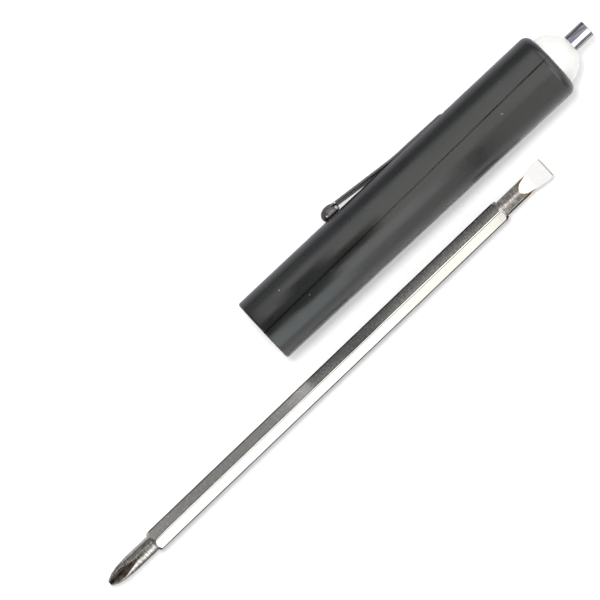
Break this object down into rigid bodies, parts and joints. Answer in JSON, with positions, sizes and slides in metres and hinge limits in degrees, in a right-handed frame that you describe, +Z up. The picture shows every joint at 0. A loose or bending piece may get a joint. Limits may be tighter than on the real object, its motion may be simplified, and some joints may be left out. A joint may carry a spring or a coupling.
{
  "type": "pocket screwdriver",
  "caption": "Pocket screwdriver: dark two-shell barrel with a button-ended pocket clip, white dome and pick-up magnet, beside its double-ended hex blade with a cross point and a flat tip.",
  "frame": {"origin": "centre of the part's box, on the surface that it lies on", "axes": "+X along the barrel's axis from its mouth to the magnet, +Y towards the pocket clip, +Z up from the surface"},
  "size_m": [0.1516, 0.029, 0.0155],
  "materials": {
    "barrel_plastic": "semi-gloss charcoal moulded plastic",
    "sleeve_plastic": "black moulded engineering plastic",
    "spring_steel": "bright spring steel",
    "dome_plastic": "glossy white moulded plastic",
    "magnet_plating": "bright nickel plating",
    "clip_steel": "nickel-plated spring steel",
    "blade_steel": "satin nickel plating over drawn and ground steel"
  },
  "bodies": {
    "barrel": {"clip_side_shell": "barrel_plastic", "plain_side_shell": "barrel_plastic", "blade_sleeve": "sleeve_plastic", "catch_spring": "spring_steel", "dome_plug": "dome_plastic", "pickup_magnet": "magnet_plating", "clip_root": "clip_steel"},
    "clip": {"clip_arm": "clip_steel"},
    "blade": {"blade": "blade_steel"}
  },
  "joints": [
    {"name": "clip_flex", "type": "hinge", "parent": "barrel", "child": "clip", "pos_m": [0.03945, 0.01175, 0.00628], "axis": [0.0021, -0.1908, -0.9816], "range_deg": [0, 5], "stiffness_Nm_per_rad": 1},
    {"name": "blade_slide", "type": "slide", "parent": "barrel", "child": "blade", "axis": [0.9999, 0.0115, 0], "range_m": [0, 0.058]}
  ]
}
